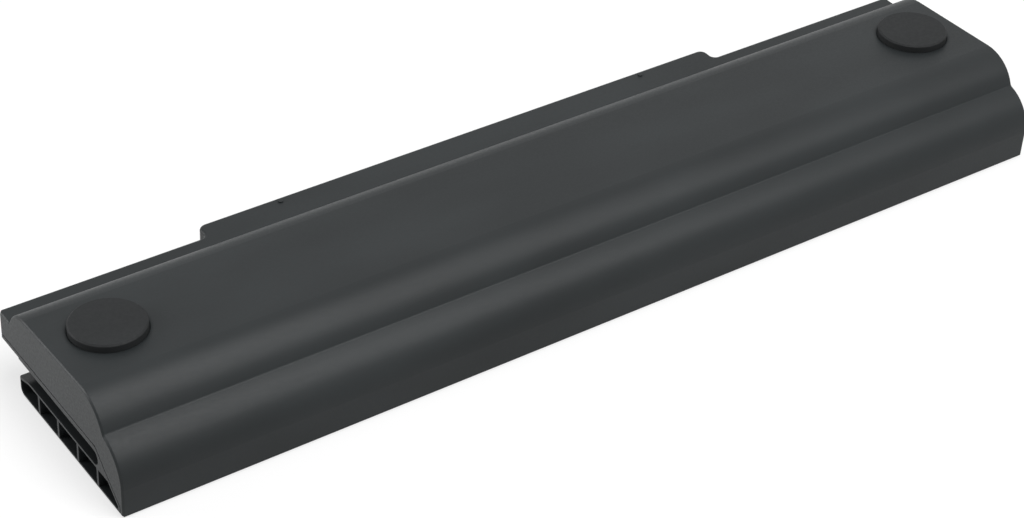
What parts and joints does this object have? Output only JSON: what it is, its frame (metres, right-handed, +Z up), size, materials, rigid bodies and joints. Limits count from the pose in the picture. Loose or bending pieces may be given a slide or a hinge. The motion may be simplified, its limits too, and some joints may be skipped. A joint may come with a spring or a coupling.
{
  "type": "laptop battery",
  "caption": "Long removable battery pack of a notebook computer with a rolled front, a flat top with round rubber feet and a rear tongue.",
  "frame": {"origin": "on the flat bottom, under the middle of the pack's length and depth", "axes": "+X along the length, to the right in the picture; +Y from the rolled front to the rear tongue; +Z up, away from the flat bottom"},
  "size_m": [0.272, 0.0644, 0.0269],
  "materials": {
    "outer_cover": "fine satin texture",
    "inner_cover": "fine satin texture",
    "rubber_foot": "matt",
    "cell_sleeve": "shrunk sleeve",
    "insulator_card": "card, matt",
    "nickel": "nickel strip",
    "foam": "closed-cell foam",
    "board": "solder mask",
    "connector_plastic": "moulded",
    "contact_metal": "gold-plated",
    "chip_plastic": "moulded",
    "fuse_ceramic": "ceramic",
    "resistor": "metal element resistor",
    "capacitor_ceramic": "ceramic",
    "red_wire": "silicone sleeve",
    "black_wire": "silicone sleeve",
    "thin_wire": "thin plastic sleeve",
    "bead": "epoxy bead"
  },
  "bodies": {
    "root": {"outer_cover": "outer_cover", "inner_cover": "inner_cover", "foot_left": "rubber_foot", "foot_right": "rubber_foot", "capacitors": "capacitor_ceramic", "cell_1": "cell_sleeve", "cell_2": "cell_sleeve", "cell_3": "cell_sleeve", "cell_4": "cell_sleeve", "cell_5": "cell_sleeve", "cell_6": "cell_sleeve", "cell_7": "cell_sleeve", "cell_8": "cell_sleeve", "charge_transistor": "chip_plastic", "circuit_board": "board", "connector_contacts": "contact_metal", "connector_housing": "connector_plastic", "discharge_transistor": "chip_plastic", "foam_strip_front": "foam", "foam_strip_rear_left": "foam", "foam_strip_rear_right": "foam", "fuse": "fuse_ceramic", "gauge_chip": "chip_plastic", "insulator_card_1": "insulator_card", "insulator_card_2": "insulator_card", "insulator_card_3": "insulator_card", "insulator_card_4": "insulator_card", "link_strip_1": "nickel", "link_strip_2": "nickel", "link_strip_3": "nickel", "negative_lead": "black_wire", "negative_strip": "nickel", "positive_lead": "red_wire", "positive_strip": "nickel", "protection_chip": "chip_plastic", "sense_lead_1": "thin_wire", "sense_lead_2": "thin_wire", "sense_lead_3": "thin_wire", "sense_resistor": "resistor", "thermistor": "bead", "thermistor_lead": "thin_wire"}
  },
  "joints": []
}
